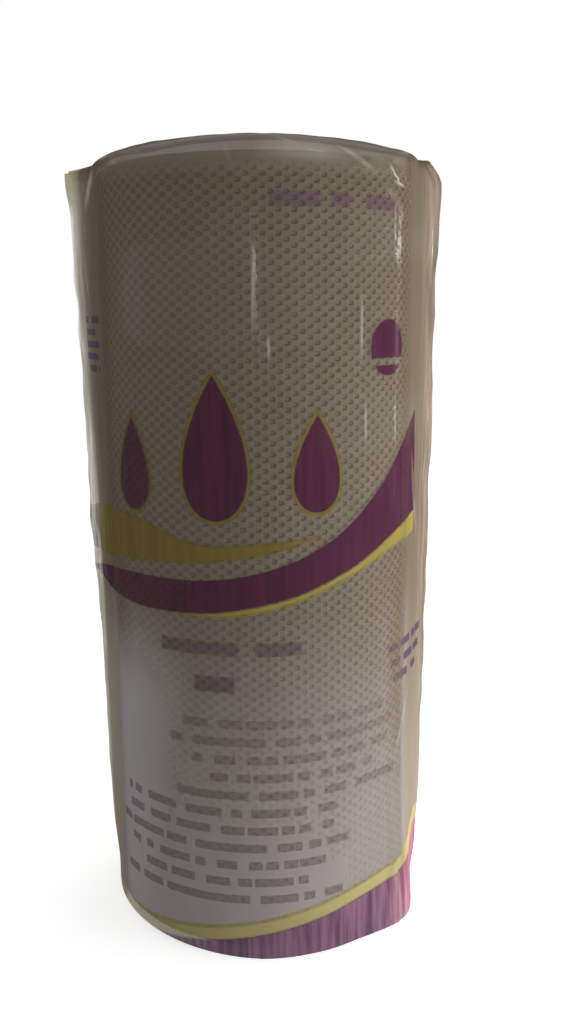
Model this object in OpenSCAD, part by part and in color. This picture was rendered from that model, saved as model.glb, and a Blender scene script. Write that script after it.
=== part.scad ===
// Kitchen towel roll in its clear printed bag, standing on one end.
// +Z runs up the roll's axis, the printed front faces -Y, and the origin is
// the middle of the base that the pack stands on. Sizes are in millimetres.

/* [Towel roll] */
// Diameter of the wound towel
roll_d = 96; // [80:1:130]
// Length of the roll, which is the width of the web
roll_h = 230; // [180:1:300]
// Thickness of the embossed two-ply web
web_t = 0.4; // [0.3:0.05:0.6]
// Radial width of the soft rounded edge at each end
shoulder_w = 10; // [6:0.5:13]
// Height of the soft rounded edge at each end
shoulder_h = 5; // [3:0.5:8]
// Turns of web between two grooves of the spiral at each end
turns_per_groove = 5; // [4:1:8]
// Width of the spiral groove
groove_w = 0.6; // [0.3:0.1:1]
// Depth of the spiral groove
groove_depth = 0.8; // [0.4:0.1:1.5]

/* [Core tube] */
// Bore of the cardboard core
core_bore_d = 40; // [32:0.5:48]
// Wall of the cardboard core
core_wall = 1; // [0.6:0.1:2]
// Glue line between the core and the first turn
glue_gap = 0.05; // [0.02:0.01:0.1]

/* [Film bag] */
// Thickness of the film
film_t = 0.3; // [0.2:0.05:0.4]
// Clearance between the film and the side of the roll
side_gap = 0.4; // [0.3:0.1:1]
// Clearance between the film and the top end of the roll
end_gap = 1.5; // [0.6:0.1:2]
// Rise of the film from the rim of the top end to the middle of its weld
tent_h = 7; // [0.5:0.5:10]
// How far the corners of the top weld stand out from the sleeve
top_ear = 8; // [5:0.5:12]
// How far the left corner of the top weld lifts over the sleeve's neck
left_lift = 2; // [0:0.5:6]
// How far the right corner of the top weld lifts over the sleeve's neck
right_lift = 5; // [0:0.5:6]
// How far the left crease stands out at the middle of the sleeve
left_crease = 3.5; // [1:0.5:4.5]
// How far the right crease stands out at the middle of the sleeve
right_crease = 5; // [1:0.5:6]
// How far the right crease stands out at the foot of the sleeve
foot_crease = 3.5; // [1:0.5:6]
// Height of the left foot of the sleeve above the base
foot_left = 4.5; // [2:0.5:6]
// Height of the rest of the sleeve's foot above the base
foot_front = 0.5; // [0.5:0.5:6]
// How far the slack film flares out at the right of the foot
foot_flare = 4; // [0.5:0.5:6]
// Width of the weld fin at each end
weld_w = 8; // [5:0.5:11]

/* [Hidden] */
$fn = 96;

roll_r = roll_d / 2;
core_r = core_bore_d / 2 + core_wall;
bore_r = core_r + glue_gap;

// Spiral: two half rings to a turn, struck from two centres
groove_pitch = turns_per_groove * web_t;
first_groove = bore_r + groove_pitch;
groove_count = floor(2 * (roll_r - shoulder_w / 2 - first_groove) / groove_pitch);
cut_over = 1;

// Film: its outer radius, the folded weld under the base and the heights over it
sleeve_r = roll_r + side_gap + film_t;
fold_gap = 0.3;
fin_t = 2 * film_t;
pocket_h = fin_t + fold_gap;
seat_gap = 0.1;
roll_z = pocket_h + film_t + seat_gap;
neck_z = roll_z + roll_h - shoulder_h + end_gap + film_t;
ear_r = sleeve_r + top_ear;
// The ears start to lift here
lift_x = 0.75 * sleeve_r;
// The pocket over the folded weld: its roof clears the weld's free edge, and
// its slope runs on from there down to the base
pocket_clear = 1.5;
pocket_slope = 4.5;
pocket_in = weld_w + pocket_clear;
pocket_out = pocket_in + pocket_slope;
// Hairline left between the two films in the weld under the base
weld_line = 0.06;
// The weld stops a little short of the ears
tip_back = 2;
// The inside of a crease lies this many films further in than its flanks
crease_films = 1.35;

// A pinched crease: angle from the crease, share of its height
PINCH = [[0, 1], [1, 0.73], [2.5, 0.5], [5, 0.33], [10, 0.17], [16, 0.05], [24, 0]];
arc_steps = 8;
// Height of each crease up the sleeve: share of the way up, share of the height
// at the middle, share of the height at the top or the foot
LEFT_RUN = [[0, 0.1, 0], [0.14, 0.35, 0], [0.3, 0.75, 0], [0.42, 0.85, 0], [0.54, 1.3, 0],
  [0.74, 1.4, 0], [0.86, 0.8, 0.45], [1, 0, 1]];
// The right ear's corner is bent round: it starts this share of the way up
BEND_SHARE = 0.976;
RIGHT_RUN = [[0, 0, 1], [0.15, 0.2, 0.75], [0.3, 0.85, 0], [0.5, 1, 0], [0.66, 1.15, 0],
  [0.78, 1.1, 0], [0.9, 0.5, 0.5], [BEND_SHARE, 0, 0.95], [1, 0, 0.55]];
sleeve_steps = 14;
// Rings up the sleeve, as shares of its height
SIDE_SHARES = concat([for (i = [0:sleeve_steps - 1]) i / sleeve_steps], [BEND_SHARE, 1]);
// The flare at the foot: its middle and half width as angles from the right
// crease towards the front, and the share of the way up where it dies out
FLARE_AT = 31;
FLARE_HALF = 15;
FLARE_TOP = 0.27;
// Rings across an end, as shares of the sleeve's width from front to back
END_RINGS = [0.985, 0.95, 0.9, 0.83, 0.72, 0.5, 0.25, 0.03];

module core_tube() {
  color([0.66, 0.52, 0.37])
    translate([0, 0, roll_z])
      difference() {
        cylinder(r = core_r, h = roll_h);
        translate([0, 0, -cut_over])
          cylinder(d = core_bore_d, h = roll_h + 2 * cut_over);
      }
}

// Half section of the roll, from the axis out to radius r
function roll_profile(r) = concat(
  [[0, 0]],
  [for (a = [0:10:90]) [r - shoulder_w + shoulder_w * sin(a), shoulder_h - shoulder_h * cos(a)]],
  [for (a = [90:-10:0]) [r - shoulder_w + shoulder_w * sin(a), roll_h - shoulder_h + shoulder_h * cos(a)]],
  [[0, roll_h]]
);

module half_groove(r, shift, upper) {
  intersection() {
    translate([0, shift, 0])
      difference() {
        cylinder(r = r + groove_w / 2, h = groove_depth + cut_over);
        translate([0, 0, -cut_over])
          cylinder(r = r - groove_w / 2, h = groove_depth + 3 * cut_over);
      }
    translate([upper ? 0 : -roll_d, -roll_d, -cut_over])
      cube([roll_d, 2 * roll_d, groove_depth + 3 * cut_over]);
  }
}

// The turns of the web, seen on an end of the roll as one spiral groove
module end_spiral() {
  for (i = [0:groove_count - 1])
    half_groove(first_groove + i * groove_pitch / 2, (i % 2 == 0 ? 1 : -1) * groove_pitch / 4, i % 2 == 0);
}

module towel_roll() {
  color([0.93, 0.91, 0.87])
    translate([0, 0, roll_z])
      difference() {
        rotate_extrude()
          polygon(roll_profile(roll_r));
        translate([0, 0, -cut_over])
          cylinder(r = bore_r, h = roll_h + 2 * cut_over);
        translate([0, 0, roll_h - groove_depth])
          end_spiral();
        translate([0, 0, groove_depth])
          mirror([0, 0, 1])
            end_spiral();
      }
}

// Share of the shoulder's height that is reached this far in from the rim
function shoulder(inset) = let (u = min(1, max(0, inset / shoulder_w))) sqrt(1 - pow(1 - u, 2));

function run_at(table, h, col) = lookup(h, [for (p = table) [p[0], p[col]]]);
function left_out(h) = run_at(LEFT_RUN, h, 1) * left_crease + run_at(LEFT_RUN, h, 2) * top_ear;
function right_out(h) = run_at(RIGHT_RUN, h, 1) * right_crease
  + run_at(RIGHT_RUN, h, 2) * (h < 0.5 ? foot_crease : top_ear);

// A quarter of the sleeve's outline, from a crease round to its front or back,
// drawn t inside the outer face
function quarter(out, t) = let (rise = max(0, out - crease_films * t), last = PINCH[len(PINCH) - 1][0])
  concat(
    [for (p = PINCH) [p[0], sleeve_r - t + rise * p[1]]],
    [for (i = [1:arc_steps]) [last + i * (90 - last) / arc_steps, sleeve_r - t]]
  );

// The slack film flares out at the foot, to the front of the right crease
function flare_out(h) = foot_flare * pow(max(0, 1 - h / FLARE_TOP), 1.3);
function flare_share(a) = exp(-pow((a - FLARE_AT) / FLARE_HALF, 2));

// The whole outline: right crease, back, left crease, front
function outline(right, left, t, flare) = let (r = quarter(right, t), l = quarter(left, t), n = len(r) - 1)
  concat(
    [for (i = [0:n - 1]) [r[i][1] * cos(r[i][0]), r[i][1] * sin(r[i][0])]],
    [for (i = [n:-1:1]) [-l[i][1] * cos(l[i][0]), l[i][1] * sin(l[i][0])]],
    [for (i = [0:n - 1]) [-l[i][1] * cos(l[i][0]), -l[i][1] * sin(l[i][0])]],
    [for (i = [n:-1:1]) let (a = r[i][0], out = r[i][1] + flare * flare_share(a))
      [out * cos(a), -out * sin(a)]]
  );

// Height of the film over the roll's top end: it lies on the shoulder and
// rises in a low tent to the weld, which runs down straight to each ear
function bridge(x, s) = (1 - s) * max(0, (ear_r - abs(x)) / (ear_r - sleeve_r + shoulder_w));
function lift_at(x) = (x < 0 ? left_lift : right_lift) * max(0, (abs(x) - lift_x) / (ear_r - lift_x));
function top_at(x, y, s, t) = neck_z - t
  + shoulder_h * min(1, max(shoulder(sleeve_r - t - norm([x, y])), bridge(x, s)))
  + lift_at(x) * (s == 1 ? 1 : 1 - bridge(x, s))
  + tent_h * (1 - pow(s, 1.5)) * pow(max(0, 1 - pow(x / ear_r, 2)), 1.6);
// Height of the film under the base
function pocket_at(y) = pocket_h * min(1, max(0, (pocket_out - abs(y)) / (pocket_out - pocket_in)));
function hang_at(x) = foot_front + (foot_left - foot_front) * min(1, max(0, -x / sleeve_r));
function base_at(x, y, t) = t + pocket_at(y) + hang_at(x) * (1 - shoulder(sleeve_r - t - norm([x, y])));
function end_at(x, y, s, t, top) = top ? top_at(x, y, s, t) : base_at(x, y, t);

function sleeve_ring(h, t) = [for (p = outline(right_out(h), left_out(h), t, flare_out(h)))
  [p[0], p[1], base_at(p[0], p[1], t) * (1 - h) + top_at(p[0], p[1], 1, t) * h]];

// A ring across an end: the outline closed up from front and back on the weld
function end_ring(s, t, top) =
  let (h = top ? 1 : 0, ring = outline(right_out(h), left_out(h), t, flare_out(h)), half = len(ring) / 2)
  [for (i = [0:len(ring) - 1]) let (x = ring[i][0] - (i == 0 ? 1 : i == half ? -1 : 0) * tip_back * (1 - s),
    y = ring[i][1] * s) [x, y, end_at(x, y, s, t, top)]];

// Rings of the weld fin, which lies folded back on the film: its root, its
// bend and its free edge. The foot's weld keeps a hairline between its films,
// and half is then half of that line, else it is the film's own thickness
function fin_ring(step, half, t, top) = let (last = end_ring(END_RINGS[len(END_RINGS) - 1], t, top),
  n = len(last) / 2, up = top ? 1 : -1)
  [for (i = [0:len(last) - 1]) let (x = last[i][0],
    face = i == 0 || i == n ? 0 : i < n ? -1 : 1,
    y = step == 2 ? weld_w : -face * half,
    z = step == 0 ? fold_gap / 3 - t * 2 / 3 : fold_gap + film_t + face * half)
    [x, y, end_at(x, step == 2 ? weld_w : 0, 0, 0, top) + up * z]];

function flip(list) = [for (i = [len(list) - 1:-1:0]) list[i]];
function sleeve_rings(t) = [for (h = SIDE_SHARES) sleeve_ring(h, t)];
function end_rings(t, top) = [for (s = END_RINGS) end_ring(s, t, top)];
function fin_rings(half, t, top) = [for (step = [0:2]) fin_ring(step, half, t, top)];

// A closed skin through rings of points, its first and last rings closed flat
module skin(rings) {
  n = len(rings[0]);
  half = n / 2;
  top = (len(rings) - 1) * n;
  sides = [for (k = [0:len(rings) - 2], i = [0:n - 1]) let (a = k * n + i, b = k * n + (i + 1) % n)
    each [[a, b + n, b], [a, a + n, b + n]]];
  lids = [for (i = [0:half - 1]) let (a = i, b = i + 1, c = n - i - 1, d = (n - i) % n)
    each concat(
      c == b ? [] : [[a, b, c], [top + a, top + c, top + b]],
      d == a ? [] : [[a, c, d], [top + a, top + d, top + c]]
    )];
  polyhedron(points = [for (r = rings) each r], faces = concat(sides, lids), convexity = 6);
}

module film_bag() {
  color([0.86, 0.80, 0.90])
    skin(concat(
      flip(end_rings(film_t, true)), flip(sleeve_rings(film_t)), end_rings(film_t, false),
      fin_rings(weld_line / 2, film_t, false), flip(fin_rings(film_t, 0, false)),
      flip(end_rings(0, false)), sleeve_rings(0), end_rings(0, true), fin_rings(film_t, 0, true)
    ));
}

core_tube();
towel_roll();
film_bag();
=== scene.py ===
import math

import bmesh
import bpy
from mathutils import Matrix, Vector, noise


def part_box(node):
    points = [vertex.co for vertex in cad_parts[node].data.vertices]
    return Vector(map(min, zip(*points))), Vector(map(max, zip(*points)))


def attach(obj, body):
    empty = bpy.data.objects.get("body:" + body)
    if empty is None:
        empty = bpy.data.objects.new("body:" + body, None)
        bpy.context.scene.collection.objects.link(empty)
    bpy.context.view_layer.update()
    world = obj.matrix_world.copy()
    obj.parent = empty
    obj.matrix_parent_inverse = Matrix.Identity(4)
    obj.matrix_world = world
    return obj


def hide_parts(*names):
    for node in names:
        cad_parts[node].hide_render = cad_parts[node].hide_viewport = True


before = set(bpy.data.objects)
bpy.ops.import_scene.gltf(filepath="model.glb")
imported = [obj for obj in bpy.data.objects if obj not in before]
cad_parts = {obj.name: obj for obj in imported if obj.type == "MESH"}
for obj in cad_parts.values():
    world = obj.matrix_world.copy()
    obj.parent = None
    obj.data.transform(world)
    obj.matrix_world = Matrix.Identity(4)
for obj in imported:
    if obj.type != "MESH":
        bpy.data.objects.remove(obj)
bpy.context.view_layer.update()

# The core: a tube of grey-brown cardboard, wound on the slant from strips of
# board and glued, so that the edge of the outer strip shows as a fine line.
# The first turn of towel is glued round it.
mm = 0.001
strip_width = 48
strip_seam = 0.012


def put(tree, kind, inputs=None, **settings):
    """A node with its settings, each input fed by a value or by another node's socket."""
    made = tree.nodes.new(kind)
    for name, value in settings.items():
        setattr(made, name, value)
    for key, value in (inputs or {}).items():
        if isinstance(value, bpy.types.NodeSocket):
            tree.links.new(value, made.inputs[key])
        else:
            made.inputs[key].default_value = value
    return made


def calc(tree, operation, *values):
    return put(tree, "ShaderNodeMath", dict(enumerate(values)), operation=operation).outputs[0]


def mixed(tree, share, low, high):
    """Colour low where share is 0, and high where it is 1."""
    return put(tree, "ShaderNodeMix", {0: share, 6: low, 7: high}, data_type="RGBA").outputs[2]


def screen(red, green, blue):
    """A colour from its 0 to 255 screen values."""
    parts = [c / 255 for c in (red, green, blue)]
    return [c / 12.92 if c <= 0.04045 else ((c + 0.055) / 1.055) ** 2.4 for c in parts] + [1.0]


def new_finish(name):
    """A material with only its output, and the piece's own x, y and z in millimetres."""
    finish = bpy.data.materials.new(name)
    finish.use_nodes = True
    tree = finish.node_tree
    tree.nodes.clear()
    place = put(tree, "ShaderNodeTexCoord").outputs["Object"]
    place = put(tree, "ShaderNodeVectorMath", {0: place, "Scale": 1 / mm}, operation="SCALE").outputs[0]
    return finish, tree, place, put(tree, "ShaderNodeSeparateXYZ", {0: place}).outputs


def finish_with(tree, shader):
    put(tree, "ShaderNodeOutputMaterial", {"Surface": shader.outputs[0]})


def speckle(tree, place, scale, detail=2.0, stretch=(1, 1, 1)):
    """Noise with so many cells to a millimetre, drawn out along an axis by a small stretch there."""
    drawn = put(tree, "ShaderNodeVectorMath", {0: place, 1: stretch}, operation="MULTIPLY").outputs[0]
    return put(tree, "ShaderNodeTexNoise", {"Vector": drawn, "Scale": scale, "Detail": detail}).outputs["Fac"]


def bumps(tree, height, strength, depth, over=None):
    """The normal of a relief so many millimetres deep, on its own or laid over another relief."""
    inputs = {"Strength": strength, "Distance": depth * mm, "Height": height}
    if over is not None:
        inputs["Normal"] = over
    return put(tree, "ShaderNodeBump", inputs).outputs[0]


core_finish, tree, place, (x, y, z) = new_finish("core_board")
turned = calc(tree, "DIVIDE", calc(tree, "ARCTAN2", y, x), math.tau)
across = calc(tree, "FRACT", calc(tree, "ADD", calc(tree, "DIVIDE", z, strip_width), turned))
seam = calc(tree, "LESS_THAN", across, strip_seam)
fibres = speckle(tree, place, 0.9, 6.0)
board = mixed(tree, fibres, screen(138, 116, 90), screen(176, 154, 124))
board = mixed(tree, seam, board, screen(96, 80, 62))
finish_with(tree, put(tree, "ShaderNodeBsdfPrincipled", {
    "Base Color": board, "Roughness": 0.85, "Normal": bumps(tree, fibres, 0.4, 0.3)}))
core_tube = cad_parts["core_tube"]
core_tube.data.materials.clear()
core_tube.data.materials.append(core_finish)

# The towel: two plies of soft tissue, embossed all over with a staggered
# lattice of small dimples and wound tightly on the core. Its ends show the cut
# edges of the turns, and its last turn ends in a straight edge on the back.
web = 0.4
group_pitch = 2.0
group_depth = 0.45
group_width = 0.16
end_wander = 0.25
wander_size = 1.1
bore = 21.05
roll_shoulder = (10, 5)
cut_margin = 5
tail_turn = math.radians(118)
side_sag = 0.05
dimple_rise = 2.97
dimple_step = 4.2
dimple_depth = 0.5
roll_steps = 240
face_rings = 34
shoulder_step = 9
wall_rings = 72
roll_low, roll_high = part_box("towel_roll")
roll_r = roll_high.x / mm
roll_z = roll_low.z / mm
roll_top = roll_high.z / mm


def tube_of_rings(ring_count, step_count):
    """A tube made by extruding the edge of a circle again and again, and its vertices by ring and step."""
    tube = bmesh.new()
    bmesh.ops.create_circle(tube, segments=step_count, radius=1.0)
    edge = tube.edges[:]
    rings = []
    while True:
        loop = {vert for side in edge for vert in side.verts}
        rings.append(sorted(loop, key=lambda vert: round(math.atan2(vert.co.y, vert.co.x) % math.tau
                                                         / math.tau * step_count) % step_count))
        if len(rings) == ring_count:
            return tube, rings
        grown = bmesh.ops.extrude_edge_only(tube, edges=edge)["geom"]
        fresh = {part for part in grown if isinstance(part, bmesh.types.BMVert)}
        edge = [part for part in grown
                if isinstance(part, bmesh.types.BMEdge) and fresh.issuperset(part.verts)]


def add_object(name, data):
    made = bpy.data.objects.new(name, data)
    bpy.context.scene.collection.objects.link(made)
    return made


def make_piece(name, work, finish, replaced, sharp=60):
    """An object on the root body from a bmesh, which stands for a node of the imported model."""
    bmesh.ops.recalc_face_normals(work, faces=work.faces[:])
    mesh = bpy.data.meshes.new(name)
    work.to_mesh(mesh)
    work.free()
    mesh.shade_smooth()
    mesh.set_sharp_from_angle(angle=math.radians(sharp))
    mesh.materials.append(finish)
    piece = add_object(name, mesh)
    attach(piece, "root")
    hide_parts(replaced)
    return piece


def edge_of_turns(radius, turn):
    """How far the cut edges of the turns lie under the flat end of the roll."""
    group = (radius / group_pitch - turn / math.tau) % 1 - 0.5
    wander = noise.noise(Vector((radius / wander_size, math.cos(turn) * 0.7, math.sin(turn) * 0.7)))
    return group_depth * math.exp(-(group / group_width) ** 2) + end_wander * (0.5 + 0.5 * wander)


def ramp(tree, value, start, end, low=0.0, high=1.0, eased=False):
    """Goes from low to high while the value goes from start to end, and stays level outside them."""
    inputs = {"Value": value, "From Min": start, "From Max": end, "To Min": low, "To Max": high}
    kind = "SMOOTHSTEP" if eased else "LINEAR"
    return put(tree, "ShaderNodeMapRange", inputs, interpolation_type=kind).outputs[0]


def from_axis(tree, x, y):
    flat = put(tree, "ShaderNodeCombineXYZ", {0: x, 1: y}).outputs[0]
    return put(tree, "ShaderNodeVectorMath", {0: flat}, operation="LENGTH").outputs["Value"]


def from_front(tree, x, y):
    """The turn round the axis, 0 in the middle of the front and growing to the right."""
    return calc(tree, "ARCTAN2", x, calc(tree, "MULTIPLY", y, -1.0))


def wave(tree, value, length):
    return calc(tree, "COSINE", calc(tree, "MULTIPLY", value, math.tau / length))


# The half section from the lower end's bore to its rim, up the side and back:
# radius, height over the foot, and how far it faces up or down
height = roll_top - roll_z
reach, rise = roll_shoulder
flat_reach = roll_r - reach
profile = [(bore + (flat_reach - bore) * i / face_rings, 0, 1) for i in range(face_rings + 1)]
profile += [(flat_reach + reach * math.sin(a), rise * (1 - math.cos(a)), math.cos(a))
            for a in (math.radians(step) for step in range(shoulder_step, 91, shoulder_step))]
wall = [(roll_r, rise + (height - 2 * rise) * i / wall_rings, 0) for i in range(1, wall_rings)]
profile += wall + [(r, height - h, face) for r, h, face in reversed(profile)]
towel_mesh, rings = tube_of_rings(len(profile), roll_steps)
for ring, (radius, rise, face) in zip(rings, profile):
    for step, vert in enumerate(ring):
        turn = math.tau * step / roll_steps
        share = (turn - tail_turn) % math.tau / math.tau
        soft = noise.noise(Vector((math.cos(turn) * 1.6, math.sin(turn) * 1.6, rise / 38)))
        out = radius - (web * share + side_sag * (1 + soft)) * (1 - face)
        sunk = edge_of_turns(radius, turn) * face * (1 if rise < height / 2 else -1)
        vert.co = Vector((out * math.cos(turn), out * math.sin(turn), roll_z + rise + sunk)) * mm
bmesh.ops.bridge_loops(towel_mesh, edges=[side for side in towel_mesh.edges if side.is_boundary])

towel_finish, tree, place, (x, y, z) = new_finish("towel_paper")
radius = from_axis(tree, x, y)
around = calc(tree, "MULTIPLY", from_front(tree, x, y), roll_r)
lattice = calc(tree, "MULTIPLY", wave(tree, z, dimple_rise), wave(tree, around, dimple_step))
dimples = ramp(tree, lattice, -0.1, 0.9, eased=True)
on_end = calc(tree, "LESS_THAN", radius, roll_r - cut_margin)
turns = calc(tree, "SINE", calc(tree, "MULTIPLY", calc(tree, "ADD", radius, speckle(tree, place, 0.08)),
                                math.tau / web / 2))
fluff = speckle(tree, place, 1.3, 5.0)
clouds = speckle(tree, place, 0.03, 3.0)
# The dimples are painted darker than the paper around them: painted shade in their hollows.
paper = mixed(tree, calc(tree, "MULTIPLY", dimples, 0.36), screen(119, 107, 89), screen(80, 71, 58))
paper = mixed(tree, calc(tree, "MULTIPLY", clouds, 0.4), paper, screen(100, 89, 74))
cut = mixed(tree, calc(tree, "MULTIPLY_ADD", turns, 0.5, 0.5), screen(96, 88, 76), screen(140, 130, 114))
paper = mixed(tree, on_end, paper, cut)
dents = bumps(tree, calc(tree, "MULTIPLY", dimples, -1.0), 1.0, dimple_depth)
ridges = bumps(tree, turns, 0.6, 0.3)
relief = put(tree, "ShaderNodeMix", {0: on_end, 4: dents, 5: ridges}, data_type="VECTOR").outputs[1]
finish_with(tree, put(tree, "ShaderNodeBsdfPrincipled", {
    "Base Color": paper, "Roughness": 0.95, "Specular IOR Level": 0.1,
    "Normal": bumps(tree, fluff, 0.25, 0.2, relief)}))
towel_roll = make_piece("embossed_towel", towel_mesh, towel_finish, "towel_roll")

# The bag: a loose sleeve of clear glossy film, blown as a tube and pressed
# flat, so it keeps a sharp crease down each side. Both ends are welded straight
# across and their fins folded back. It is printed on the front.
sleeve = 48.7
neck = 228.1
shoulder_reach = 10
shoulder_rise = 5
ear = 8
ear_lifts = (2, 5)
lift_from = 0.75 * sleeve
tent = 7
tip_back = 2
tip_half = 0.6
foot_hang = (4.5, 0.5)
pocket = (0.9, 9.5, 14)
fin_reach = 8
fin_half = 0.2
fin_seat = 0.35
fin_droop = 2.2
pucker_depth = 0.2
foot_flare = 4
flare_top = 62
flare_middle = 50
flare_width = 13
front_cling = 0.3
deepest_dent = 0.35
# Wrinkles: depth, how closely they follow each other round the sleeve, and length
wrinkle_kinds = [(0.2, 6.5, 55), (0.12, 15, 24), (0.1, 3, 7)]
# Each crease stands proud of the sleeve by so many millimetres at each share of
# the way up. A part of that is its pinched tip, and the rest a flat flank.
tip_share = 0.25
tip_degrees = 1.6
sway = 1.2
sway_degrees = 7
left_crease = [
    (0, 0.35), (0.06, 1.6), (0.14, 2.3), (0.3, 2.9), (0.42, 3.7), (0.54, 5.2), (0.74, 5.6), (0.86, 6.9),
    (1, 8)]
right_crease = [
    (0, 1.2), (0.05, 2.6), (0.15, 3.6), (0.3, 4.3), (0.5, 5), (0.66, 5.7), (0.78, 5.5), (0.9, 6.5),
    (0.972, 7.5), (0.985, 6.6), (1, 4.4)]
# Folds in the film: from and to, as millimetres round the sleeve from the
# middle of the front and millimetres up it, half width, height, and how strongly
# a painted highlight is laid along the fold
film_folds = [
    (22, 233, 38, 224, 1.3, 0.9, 0.45), (38, 224, 52, 214, 1.6, 0.5, 0.3),
    (6, 234, 14, 231.5, 0.8, 0.4, 0.45), (0, 231, 27, 230, 5, 0, 0.36),
    (12, 230.5, 21, 229.5, 0.7, 0.4, 0.55), (41, 229, 47, 222, 0.9, 0.7, 0.9),
    (42, 224, 52, 223, 0.8, 0.6, 0.8), (-56, 230, -66, 218, 1.2, 0.9, 0.6),
    (-76, 213, -61, 216, 0.9, 0.6, 0), (-70, 212, -66, 190, 1.1, 0.6, 0.6),
    (60, 76, 44.4, 51.4, 1.2, 0.9, 0.5), (44.4, 52, 45.4, 3, 1.1, 1.1, 0.3),
    (31, 196, 31, 174, 0.9, 0.35, 0.42), (32.6, 166, 32.8, 152, 0.9, 0.35, 0.4),
    (45.8, 168, 46, 148, 0.9, 0.45, 0.4), (44.6, 222, 44.8, 205, 0.9, 0.45, 0.4),
    (-0.3, 208, -0.6, 182, 0.8, 0.3, 0.4), (3.4, 184, 3.6, 176, 0.8, 0.3, 0.4),
    (-48, 36, -40, 22, 1.2, 0.5, 0.2), (-52, 150, -44, 128, 1.2, 0.3, 0),
    (58, 150, 66, 118, 1.2, 0.5, 0.2), (-30, 228, -24, 220, 1.0, 0.5, 0.1),
    (-8, 233, -4, 222, 1.0, 0.4, 0.1), (120, 228, 112, 205, 1.3, 0.6, 0.3),
    (96, 190, 104, 150, 1.2, 0.5, 0.2), (-118, 214, -108, 190, 1.2, 0.6, 0.3),
    (-98, 120, -104, 80, 1.2, 0.5, 0.2), (140, 60, 128, 22, 1.2, 0.6, 0.2)]
film_steps = 288
film_levels = 112
side_crowding = 0.38
end_shares = [0.99, 0.965, 0.935, 0.9, 0.86, 0.81, 0.75, 0.68, 0.6, 0.51, 0.42, 0.33, 0.24, 0.15, 0.08, 0.03]
fin_shares = [0, 0.12, 0.3, 0.5, 0.7, 0.88, 1]


def along(table, share):
    """A value from a table of shares and values, on straight lines between its entries."""
    for (start, low), (end, high) in zip(table, table[1:]):
        if share <= end:
            part = (share - start) / (end - start)
            return low + (high - low) * part
    return table[-1][1]


def clamped(value, low=0.0, high=1.0):
    return min(high, max(low, value))


def shoulder_at(inset):
    return math.sqrt(1 - (1 - clamped(inset / shoulder_reach)) ** 2)


def fold_height(place_round, height):
    """How far the folds lift the film at a place on the sleeve."""
    lift = 0.0
    for u1, v1, u2, v2, half, rise, _ in film_folds:
        du, dv = u2 - u1, v2 - v1
        part = ((place_round - u1) * du + (height - v1) * dv) / (du * du + dv * dv)
        if not -0.3 < part < 1.3:
            continue
        off = abs((place_round - u1) * dv - (height - v1) * du) / math.hypot(du, dv)
        if off < 4 * half:
            taper = clamped(1.3 - abs(2 * clamped(part, -0.3, 1.3) - 1))
            lift += rise * min(1, taper * 2) * math.exp(-(off / half) ** 2)
    return lift


def sleeve_point(turn, share):
    """A point on the outline of the sleeve, a share of the way up, with its creases, folds and wrinkles."""
    height = neck * share
    on_left = math.pi / 2 < turn < 3 * math.pi / 2
    swing = sway * noise.noise(Vector((3.1, on_left, height / 22)))
    out = 0.0
    bend = 0.0
    for side, table in ((0, right_crease), (math.pi, left_crease)):
        away = abs(math.degrees((turn - side + math.pi) % math.tau - math.pi))
        crumple = 1 + 0.1 * noise.noise(Vector((side, 0.5, height / 9)))
        proud = along(table, share) * crumple
        lean = max(0, math.acos(sleeve / (sleeve + proud)) - math.radians(away))
        tip = tip_share * proud * math.exp(-away / tip_degrees)
        out += tip + (1 - tip_share) * sleeve * (1 / math.cos(lean) - 1)
        bend += swing * math.exp(-(away / sway_degrees) ** 2)
    around = math.radians(bend) + turn
    x, y = math.cos(turn), math.sin(turn)
    wrinkles = sum(depth * noise.noise(Vector((x * often, y * often, height / length)))
                   for depth, often, length in wrinkle_kinds)
    place_round = ((turn + math.pi / 2 + math.pi) % math.tau - math.pi) * sleeve
    flare_off = (place_round - flare_middle) / flare_width
    out += foot_flare * clamped(1 - height / flare_top) ** 1.3 * math.exp(-flare_off ** 2)
    cling = front_cling * clamped(-1.4 * y)
    reach = sleeve - cling + out + max(-deepest_dent, wrinkles) + fold_height(place_round, height)
    return Vector((reach * math.cos(around), reach * math.sin(around)))


def top_height(x, y, share):
    bridge = (1 - share) * max(0, (sleeve + ear - abs(x)) / (ear + shoulder_reach))
    lifted = ear_lifts[x > 0] * max(0, (abs(x) - lift_from) / (sleeve + ear - lift_from))
    arch = max(0, 1 - (x / (sleeve + ear)) ** 2) ** 1.6
    return (neck + shoulder_rise * min(1, max(shoulder_at(sleeve - math.hypot(x, y)), bridge))
            + lifted * (1 if share == 1 else 1 - min(1, bridge)) + tent * (1 - share ** 1.5) * arch)


def foot_height(x, y):
    hang = foot_hang[1] + (foot_hang[0] - foot_hang[1]) * clamped(-x / sleeve)
    sag = hang * (1 - shoulder_at(sleeve - math.hypot(x, y)))
    rise, inner, outer = pocket
    return rise * clamped((outer - abs(y)) / (outer - inner)) + sag


def end_point(turn, share, top):
    """A point of the panel that folds in over an end, from its rim at 1 to the weld at 0."""
    x, y = sleeve_point(turn, top)
    x -= math.copysign(tip_back * (1 - share) * (abs(y) < tip_half), x)
    y *= share
    pucker = noise.noise(Vector((x / 5, y / 30, 4 * top))) * clamped((1 - share) * 6)
    if top:
        return x, y, top_height(x, y, share) + pucker_depth * pucker
    return x, y, foot_height(x, y) + pucker_depth * abs(pucker)


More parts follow.
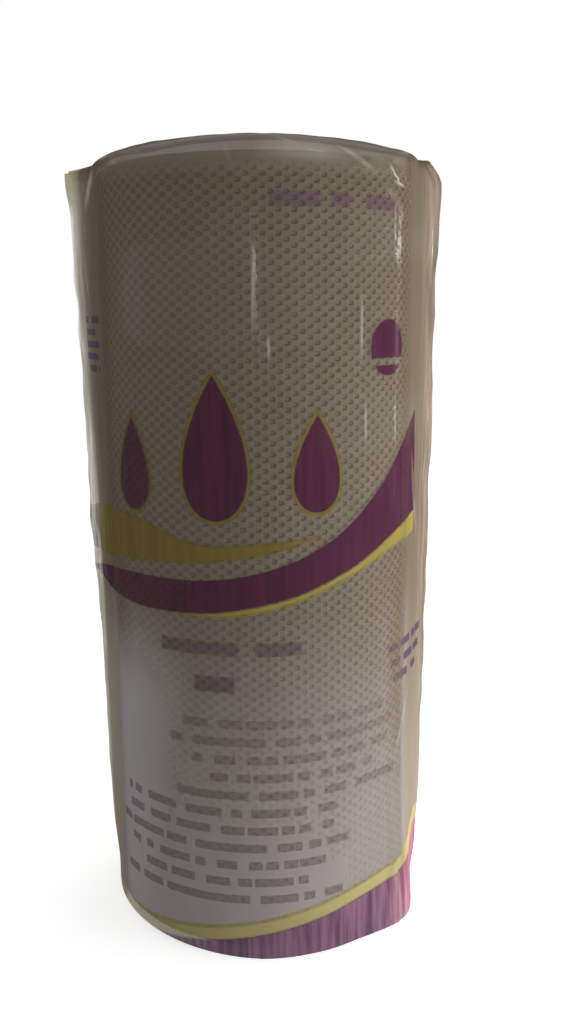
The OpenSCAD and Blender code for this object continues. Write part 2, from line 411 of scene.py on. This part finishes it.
def fin_point(turn, share, top, face):
    """A point of the folded fin, from the weld at 0 to its free edge at 1, on its face at -1 or at 1."""
    x = end_point(turn, end_shares[-1], top)[0]
    y = fin_reach * share - face * fin_half * (1 - share)
    if not top:
        return x, y, foot_height(x, y * (1 - share)) - (fin_seat + face * fin_half * (share < 1))
    z = top_height(x, y, max(0, y) / sleeve) + (fin_seat + face * fin_half * (share < 1))
    droop = fin_droop * share * clamped((abs(x) - sleeve) / 3)
    lift = share ** 2 * (0.6 + 0.8 * noise.noise(Vector((x / 14, 2.5, 0))))
    return x, y, z + lift * (droop == 0) - droop


levels = [("fin", share, 0) for share in reversed(fin_shares)]
levels += [("end", share, 0) for share in reversed(end_shares)]
levels += [("side", i / film_levels, 0) for i in range(film_levels + 1)]
levels += [("end", share, 1) for share in end_shares]
levels += [("fin", share, 1) for share in fin_shares]
bag_mesh, rings = tube_of_rings(len(levels), film_steps)
for ring, (kind, share, top) in zip(rings, levels):
    for step, vert in enumerate(ring):
        even = math.tau * step / film_steps
        turn = even - side_crowding * math.sin(2 * even)
        if kind == "side":
            x, y = sleeve_point(turn, share)
            z = foot_height(x, y) * (1 - share) + top_height(x, y, 1) * share
        elif kind == "end":
            x, y, z = end_point(turn, share, top)
        else:
            face = 0 if step in (0, film_steps // 2) else -1 if step < film_steps // 2 else 1
            x, y, z = fin_point(turn, share, top, face)
        vert.co = Vector((x, y, z)) * mm
bmesh.ops.remove_doubles(bag_mesh, verts=bag_mesh.verts[:], dist=0.002 * mm)

purple_deep = screen(46, 33, 41)
purple_pale = screen(100, 38, 72)
foot_purple = screen(96, 68, 90)
foot_lilac = screen(146, 104, 132)
foot_rose_lit = screen(208, 144, 160)
foot_cream = screen(196, 184, 124)
foot_pink_lit = screen(158, 94, 120)
yellow_deep = screen(105, 91, 38)
yellow_pale = screen(134, 118, 48)
line_yellow = screen(158, 142, 66)
ink = screen(92, 64, 92)
haze = screen(212, 205, 210)
crease_haze = screen(120, 107, 90)
crease_pink_lit = screen(168, 146, 126)
end_haze = screen(134, 122, 106)
side_haze = screen(196, 186, 168)
left_painted_light = screen(232, 222, 186)
painted_fold_glint = screen(214, 206, 192)
# The haze on the lower half, of the whole bag and of the left of its front: the
# height where it begins, the lower one where it is full, and its cover there
milk_heights = (125.0, 15.0)
milk_cover = 0.38
milk_left_heights = (116.0, 74.0)
milk_left_cover = 0.55
side_from = 41.0
side_to = 46.2
# The upper end: how far down from the towel's top its cover and its colour
# reach, the clearer eye in its middle, and the cover inside and outside it
end_cover_drop = 5
end_colour_drop = 12
eye_depth = 19.0
eye_edge = (0.6, 1.0)
eye_covers = (0.42, 0.88)
sheen_most = 0.04
sheen_least = 0.006
light_past = 0.75
# Where the film lies taut enough to throw a streak of light: from and to round
# the sleeve, and from and to up it
bright_spans = [(-40, 20, 183, 205), (20, 75, 205, 213), (20, 75, 153, 165), (-150, -78, 20, 215),
                (78, 150, 60, 180)]
curve_span = 80
curve_top = 235
print_left = -78
print_right = 62.3
foot_middle = 11.0
foot_swing = 9.7
foot_turn = math.radians(-17.6)
foot_line_width = 4.6
# The plain drops on the front: middle, foot, half width and height
drops = [(-12, 133, 9.5, 40), (-40, 134, 7, 27), (17, 135, 7, 27)]
drop_shape = 2.598
drop_edge = 0.25
halo_width = 1.1
badge_middle = (42.5, 179.2)
badge_radius = 7.8
badge_gap = (174.3, 176.3)
# Blocks of small print: left, right, foot, pitch of the lines, how many, how
# thick, and the number that their lengths are drawn from
fine_blocks = [(-29, 50, 49.7, 5.45, 5, 2.1, 3), (-54, 28, 17, 5.45, 6, 2.1, 3)]
small_blocks = [
    (-36, 18, 93, 7, 1, 3.4, 11), (-74, -59, 171, 3.6, 5, 1.7, 53), (-3, 55, 214.5, 7, 1, 3.6, 21),
    (-21, 0, 82, 8, 1, 4.0, 29), (44, 74, 77, 5, 3, 2.0, 41)]


def most_of(tree, values):
    """The greatest of several values."""
    first, *others = values
    for value in others:
        first = calc(tree, "MAXIMUM", first, value)
    return first


def rest_of(tree, share):
    return calc(tree, "SUBTRACT", 1.0, share)


def above(tree, value, limit, soft=0.2):
    """1 where the value is over the limit, with a soft edge."""
    return ramp(tree, calc(tree, "SUBTRACT", value, limit), -soft, soft)


def between(tree, value, low, high, soft=0.2):
    return calc(tree, "MULTIPLY", above(tree, value, low, soft), above(tree, high, value, soft))


def printed_edge(tree, around, points):
    """The height of a printed edge at each place round the sleeve, drawn through its points."""
    share = calc(tree, "MULTIPLY_ADD", around, 0.5 / curve_span, 0.5)
    drawn = put(tree, "ShaderNodeFloatCurve", {"Value": share})
    curve = drawn.mapping.curves[0]
    placed = [(0.5 + 0.5 * u / curve_span, v / curve_top) for u, v in points]
    curve.points[0].location = placed[0]
    curve.points[1].location = placed[-1]
    for spot in placed[1:-1]:
        curve.points.new(*spot)
    drawn.mapping.update()
    return calc(tree, "MULTIPLY", drawn.outputs[0], curve_top)


def drop_mark(tree, around, height, middle, foot, half, tall, grow=0.0):
    """A plain water drop, from its foot up to its tip."""
    part = calc(tree, "DIVIDE", calc(tree, "SUBTRACT", height, foot - grow), tall + 3 * grow)
    part = put(tree, "ShaderNodeClamp", {0: part}).outputs[0]
    width = calc(tree, "MULTIPLY", calc(tree, "SQRT", part), rest_of(tree, part))
    width = calc(tree, "MULTIPLY_ADD", width, drop_shape * (half + grow), -drop_edge)
    return above(tree, width, calc(tree, "ABSOLUTE", calc(tree, "SUBTRACT", around, middle)), drop_edge)


def print_rows(tree, around, height, left, right, low, pitch, count, thick, seed):
    """Rows of small print, shown as plain broken lines of differing length."""
    line = calc(tree, "DIVIDE", calc(tree, "SUBTRACT", height, low), pitch)
    row = calc(tree, "FLOOR", line)
    inside = calc(tree, "ABSOLUTE", calc(tree, "SUBTRACT", calc(tree, "FRACT", line), 0.5))
    rows = calc(tree, "MULTIPLY", above(tree, thick / pitch / 2, inside, 0.06),
                between(tree, height, low, low + pitch * count, 0.05))
    drawn = put(tree, "ShaderNodeTexWhiteNoise", {"W": calc(tree, "ADD", row, seed)}, noise_dimensions="1D")
    half = (right - left) / 2
    reach = calc(tree, "MULTIPLY_ADD", drawn.outputs["Value"], 0.35 * half, 0.65 * half)
    middle = calc(tree, "ABSOLUTE", calc(tree, "SUBTRACT", around, (left + right) / 2))
    words = calc(tree, "MULTIPLY_ADD", row, 37.3, calc(tree, "DIVIDE", around, 2.4 * thick))
    words = put(tree, "ShaderNodeTexNoise", {"W": words, "Scale": 1.0, "Detail": 0.0}, noise_dimensions="1D")
    rows = calc(tree, "MULTIPLY", rows, above(tree, words.outputs["Fac"], 0.4, 0.02))
    return calc(tree, "MULTIPLY", rows, above(tree, reach, middle, 0.2))


def fold_mark(tree, around, height, start, end, half):
    """A line along a fold, 1 in its middle and fading to its ends and its sides."""
    (u1, v1), (u2, v2) = start, end
    length = math.hypot(u2 - u1, v2 - v1)
    du, dv = (u2 - u1) / length, (v2 - v1) / length
    run = calc(tree, "MULTIPLY_ADD", height, dv, -u1 * du - v1 * dv)
    run = calc(tree, "MULTIPLY_ADD", around, du, run)
    off = calc(tree, "MULTIPLY_ADD", height, -du, v1 * du - u1 * dv)
    off = calc(tree, "ABSOLUTE", calc(tree, "MULTIPLY_ADD", around, dv, off))
    far = calc(tree, "ABSOLUTE", calc(tree, "SUBTRACT", run, length / 2))
    taper = ramp(tree, far, length / 2, length / 6)
    return calc(tree, "MULTIPLY", ramp(tree, off, half, 0.0, eased=True), taper)


bag_finish, tree, place, (x, y, z) = new_finish("bag_film")
radius = from_axis(tree, x, y)
turn = from_front(tree, x, y)
around = calc(tree, "MULTIPLY", turn, sleeve)
streaks = speckle(tree, place, 1.0, 3.0, (0.55, 0.55, 0.035))
mottle = speckle(tree, place, 0.12, 4.0)
drawn_out = ramp(tree, streaks, 0.36, 0.64)

# What stands off the towel: the creases, and their outermost film
at_side = ramp(tree, calc(tree, "ABSOLUTE", x), side_from, side_to, eased=True)
off_side = rest_of(tree, at_side)
stood_off = calc(tree, "MAXIMUM", ramp(tree, radius, sleeve + 1.5, sleeve + 5.0), at_side)
outermost = ramp(tree, radius, sleeve + 0.8, sleeve + 4.0)
left_part = calc(tree, "MULTIPLY", ramp(tree, around, -4.0, -50.0, eased=True), above(tree, around, -92, 14))
right_part = ramp(tree, around, 5.0, 50.0, eased=True)
milk = calc(tree, "MULTIPLY", ramp(tree, z, *milk_heights, eased=True),
            calc(tree, "MULTIPLY_ADD", right_part, -0.3, 1.0))
milk_left = calc(tree, "MULTIPLY", ramp(tree, z, *milk_left_heights, eased=True), left_part)
milky = calc(tree, "MAXIMUM", milk, milk_left)

# The print
band_top = printed_edge(tree, around, [
    (-80, 109), (-60, 113.4), (-40, 115.4), (-26, 115.7), (-14, 116.3), (-3.6, 117.8), (7.8, 120.8),
    (15.7, 123.9), (24.3, 128.5), (32.4, 134.4), (40, 140.7), (50, 150), (58.5, 157), (63.8, 161),
    (80, 175)])
band_foot = printed_edge(tree, around, [
    (-80, 109), (-55, 107), (-43.5, 106.1), (-32, 106), (-22, 106.3), (-11.6, 107.2), (-1.2, 109),
    (11, 111.8), (21.3, 115.4), (32.5, 119.8), (43.9, 124.6), (57.4, 128.3), (80, 133)])
line_foot = printed_edge(tree, around, [
    (-80, 111), (-55, 108), (-32, 106.4), (-22, 105.8), (-11.6, 105.6), (-1.2, 107), (11, 109.8),
    (21.3, 113.4), (32.5, 117.2), (43.9, 120.8), (57.4, 123), (80, 126)])
crescent_top = printed_edge(tree, around, [
    (-80, 128), (-55, 132.5), (-38, 131.7), (-29, 129.2), (-21.5, 127), (-11, 126.1), (1.5, 126.9),
    (11, 127.6), (18, 128.4), (80, 128)])
crescent_foot = printed_edge(tree, around, [
    (-80, 116), (-59, 117.6), (-39, 119.4), (-25.5, 120.4), (-14, 121.4), (-4.8, 122.7), (4.7, 124.5),
    (14.4, 127.2), (18, 128.6), (80, 150)])
on_front = between(tree, around, print_left, print_right, 0.3)
crescent, band, line = (
    calc(tree, "MULTIPLY", between(tree, z, low, high, soft), on_front) for low, high, soft in (
        (crescent_foot, crescent_top, 0.7), (band_foot, band_top, 0.25), (line_foot, band_foot, 0.8)))
foot_edge = calc(tree, "SINE", calc(tree, "ADD", turn, foot_turn))
foot_edge = calc(tree, "MULTIPLY_ADD", foot_edge, foot_swing, foot_middle)
foot = above(tree, foot_edge, z, 0.3)
foot_line = between(tree, z, foot_edge, calc(tree, "ADD", foot_edge, foot_line_width), 0.9)
marks, halo = (most_of(tree, [drop_mark(tree, around, z, *drop, grow) for drop in drops])
               for grow in (0.0, halo_width))
badge_off = [calc(tree, "SUBTRACT", value, middle) for value, middle in zip((around, z), badge_middle)]
badge_far = calc(tree, "SQRT", calc(tree, "ADD", *(calc(tree, "MULTIPLY", off, off) for off in badge_off)))
badge = calc(tree, "MULTIPLY", above(tree, badge_radius, badge_far, 0.2),
             rest_of(tree, between(tree, z, *badge_gap, 0.15)))
fine_print, small_print = (most_of(tree, [print_rows(tree, around, z, *block) for block in blocks])
                           for blocks in (fine_blocks, small_blocks))
purple = mixed(tree, streaks, purple_deep, purple_pale)
yellow = mixed(tree, streaks, yellow_deep, yellow_pale)
# The foot's print is painted paler and pinker where the film stands off the towel: painted light shining
# through the film.
foot_print_and_light = mixed(tree, stood_off, mixed(tree, drawn_out, foot_purple, foot_lilac),
               mixed(tree, drawn_out, foot_pink_lit, foot_rose_lit))

# The bare film: its colour, and how much of the towel it covers
# The outermost film of the creases is painted paler and pinker along its streaks: painted light shining
# through the film.
ear_tone = mixed(tree, calc(tree, "MULTIPLY", drawn_out, outermost), crease_haze, crease_pink_lit)
ear_tone = mixed(tree, calc(tree, "MULTIPLY", milky, 0.55), ear_tone, side_haze)
near_side = above(tree, calc(tree, "ABSOLUTE", x), side_from - 2, 2)
near_side = calc(tree, "MULTIPLY", near_side, rest_of(tree, milky))
colour = mixed(tree, calc(tree, "MAXIMUM", stood_off, near_side), haze, ear_tone)
cover = calc(tree, "MAXIMUM", calc(tree, "MULTIPLY", milk, milk_cover),
             calc(tree, "MULTIPLY", milk_left, milk_left_cover))
cover = calc(tree, "MULTIPLY_ADD", mottle, 0.06, cover)
# The left crease is painted paler where it stands off the towel: painted light shining through the film.
left_near = ramp(tree, z, 120.0, 190.0, sleeve + 1.0, sleeve + 3.2)
left_far = ramp(tree, z, 120.0, 190.0, sleeve + 2.8, sleeve + 6.2)
left_edge = calc(tree, "MULTIPLY", ramp(tree, radius, left_near, left_far), above(tree, 0.0, x, 5))
colour = mixed(tree, calc(tree, "MULTIPLY", left_edge, 0.85), colour, left_painted_light)
thick = calc(tree, "MULTIPLY_ADD", outermost, -0.2, 0.94)
thick = calc(tree, "MULTIPLY_ADD", calc(tree, "MULTIPLY", drawn_out, outermost), 0.12, thick)
thin = calc(tree, "MULTIPLY", calc(tree, "MULTIPLY", left_edge, drawn_out), above(tree, 222, z, 5))
thick = calc(tree, "MULTIPLY_ADD", thin, -0.6, thick)
cover = calc(tree, "MAXIMUM", cover, calc(tree, "MULTIPLY", stood_off, thick))
eye_x = calc(tree, "DIVIDE", x, sleeve)
eye_y = calc(tree, "DIVIDE", y, eye_depth)
eye = calc(tree, "MULTIPLY_ADD", eye_x, eye_x, calc(tree, "MULTIPLY", eye_y, eye_y))
on_end = calc(tree, "MULTIPLY", above(tree, z, roll_top - end_cover_drop, 2.5), off_side)
near_end = calc(tree, "MULTIPLY", above(tree, z, roll_top - end_colour_drop, 8), off_side)
colour = mixed(tree, near_end, colour, end_haze)
cover = calc(tree, "MAXIMUM", cover, calc(tree, "MULTIPLY", on_end, ramp(tree, eye, *eye_edge, *eye_covers)))

# The print laid on the film, the first the lowest: where it stands, its colour,
# how much of the towel it covers, and how far it hides the film's own colour
for mask, shade, strength, full in (
        (fine_print, ink, 0.3, 0.6),
        (small_print, ink, 0.42, 0.95),
        (halo, yellow, 0.8, 1),
        (crescent, yellow, 0.9, 1),
        (line, line_yellow, 0.75, 1),
        (foot_line, foot_cream, 0.7, 1),
        (foot, foot_print_and_light, 0.85, 1),
        (band, purple, 0.95, 1),
        (marks, purple, 0.96, 1),
        (badge, purple, 0.93, 1)):
    laid = calc(tree, "MINIMUM", calc(tree, "MULTIPLY", mask, 5.0 * full), full)
    colour = mixed(tree, laid, colour, shade)
    fade = calc(tree, "MULTIPLY_ADD", left_part, -0.2, calc(tree, "MULTIPLY_ADD", stood_off, -0.25, strength))
    cover = calc(tree, "MAXIMUM", cover, calc(tree, "MULTIPLY", mask, fade))
# Painted highlights: pale streaks laid along the folds where the film would glint, which also hide the towel
# beneath them.
fold_glint_mask = most_of(tree, [calc(tree, "MULTIPLY", fold_mark(tree, around, z, (u1, v1), (u2, v2), half), glint)
                      for u1, v1, u2, v2, half, _, glint in film_folds if glint])
colour = mixed(tree, fold_glint_mask, colour, painted_fold_glint)
cover = calc(tree, "MAXIMUM", cover, fold_glint_mask)

# The film itself: hazy or printed film mixed with clear film, which lets more
# light past to the towel than the eye sees through it, and a gloss over both
fine = bumps(tree, mottle, 0.2, 0.8, bumps(tree, streaks, 0.12, 0.5))
printed = put(tree, "ShaderNodeBsdfPrincipled", {"Base Color": colour, "Roughness": 0.5, "Normal": fine,
                                                 "Specular IOR Level": 0.0})
clear = put(tree, "ShaderNodeBsdfTransparent")
path = put(tree, "ShaderNodeLightPath").outputs
past = calc(tree, "MAXIMUM", path["Is Shadow Ray"], path["Is Diffuse Ray"])
cover = calc(tree, "MULTIPLY", cover, calc(tree, "MULTIPLY_ADD", past, -light_past, 1.0))
body = put(tree, "ShaderNodeMixShader", {0: cover, 1: clear.outputs[0], 2: printed.outputs[0]})
gloss = put(tree, "ShaderNodeBsdfGlossy", {"Roughness": 0.1, "Normal": fine})
taut = most_of(tree, [
    calc(tree, "MULTIPLY", between(tree, around, left, right, 4), between(tree, z, low, high, 4))
    for left, right, low, high in bright_spans])
sheen = calc(tree, "MULTIPLY_ADD", taut, sheen_most, sheen_least)
sheen = calc(tree, "MINIMUM", put(tree, "ShaderNodeFresnel", {"IOR": 1.25, "Normal": fine}).outputs[0], sheen)
finish_with(tree, put(tree, "ShaderNodeMixShader", {0: sheen, 1: body.outputs[0], 2: gloss.outputs[0]}))
film_bag = make_piece("printed_film_bag", bag_mesh, bag_finish, "film_bag", 75)

# The studio: a pale floor, a white surround, and soft lamps at the right, by
# the foot and behind. Three narrow strips are the only lamps that show as
# reflections, which run down the film.
floor_half = 6.0
floor_tone = 0.9
floor_glow = 0.66
world_fill = 0.38
aim = Vector((0, 0, 0.12))
# The lamps: degrees round from the front to the right, how far off, how high
# over the point they aim at, wide and tall, all in metres, and the power in watts
lamps = [
    ("side_lamp", 76, 1.2, 0.0, 1.0, 1.2, 7.0),
    ("low_lamp", 72, 0.28, -0.09, 0.2, 0.06, 0.45),
    ("back_lamp", 150, 1.2, 0.5, 0.8, 0.8, 3.0),
    ("front_strip", -2, 1.1, 0.09, 0.05, 0.14, 0.4),
    ("side_strip", 72, 0.9, 0.02, 0.02, 0.1, 0.07),
    ("back_strip", 114, 0.9, 0.0, 0.04, 0.3, 1.0)]


def seen_by_eye(tree):
    """1 for a ray that the camera sees, straight or in the film, and 0 for one that only brings light."""
    path = put(tree, "ShaderNodeLightPath").outputs
    return most_of(tree, [path["Is Camera Ray"], path["Is Glossy Ray"], path["Is Transmission Ray"]])


floor_mesh = bmesh.new()
bmesh.ops.create_grid(floor_mesh, x_segments=1, y_segments=1, size=floor_half)
floor_data = bpy.data.meshes.new("floor")
floor_mesh.to_mesh(floor_data)
floor_mesh.free()
floor = add_object("floor", floor_data)
floor_finish, tree, _, _ = new_finish("floor_paint")
paint = put(tree, "ShaderNodeBsdfDiffuse", {"Color": [floor_tone, floor_tone, floor_tone, 1]})
glow = put(tree, "ShaderNodeEmission", {"Strength": calc(tree, "MULTIPLY", seen_by_eye(tree), floor_glow)})
finish_with(tree, put(tree, "ShaderNodeAddShader", {0: paint.outputs[0], 1: glow.outputs[0]}))
floor_data.materials.append(floor_finish)

world = bpy.data.worlds.new("surround")
bpy.context.scene.world = world
world.use_nodes = True
tree = world.node_tree
tree.nodes.clear()
level = ramp(tree, seen_by_eye(tree), 0.0, 1.0, world_fill, 1.0)
put(tree, "ShaderNodeOutputWorld", {
    "Surface": put(tree, "ShaderNodeBackground", {"Color": [1, 1, 1, 1], "Strength": level}).outputs[0]})

for name, turn, far, lift, wide, tall, power in lamps:
    lamp_data = bpy.data.lights.new(name, "AREA")
    lamp_data.shape = "RECTANGLE"
    lamp_data.size = wide
    lamp_data.size_y = tall
    lamp_data.energy = power
    lamp = add_object(name, lamp_data)
    bearing = math.radians(turn)
    lamp.location = aim + Vector((far * math.sin(bearing), -far * math.cos(bearing), lift))
    lamp.rotation_euler = (aim - lamp.location).to_track_quat("-Z", "Y").to_euler()
    lamp.visible_glossy = name.endswith("strip")

# The camera: a phone held close, about four fifths of the way up the roll and
# tipped a little to look down on it.
camera_place = Vector((4.32, -324.9, 191.0))
yaw, pitch, roll = (math.radians(a) for a in (0.79, 11.28, -0.46))
camera_data = bpy.data.cameras.new("camera")
camera_data.lens = 36.46
camera_data.clip_start = 0.01
camera = add_object("camera", camera_data)
looking = (Matrix.Rotation(-yaw, 4, "Z") @ Matrix.Rotation(math.pi / 2 - pitch, 4, "X")
           @ Matrix.Rotation(roll, 4, "Z"))
camera.matrix_world = Matrix.Translation(camera_place * mm) @ looking
bpy.context.scene.camera = camera
bpy.context.scene.view_settings.view_transform = "Standard"

bpy.context.view_layer.update()
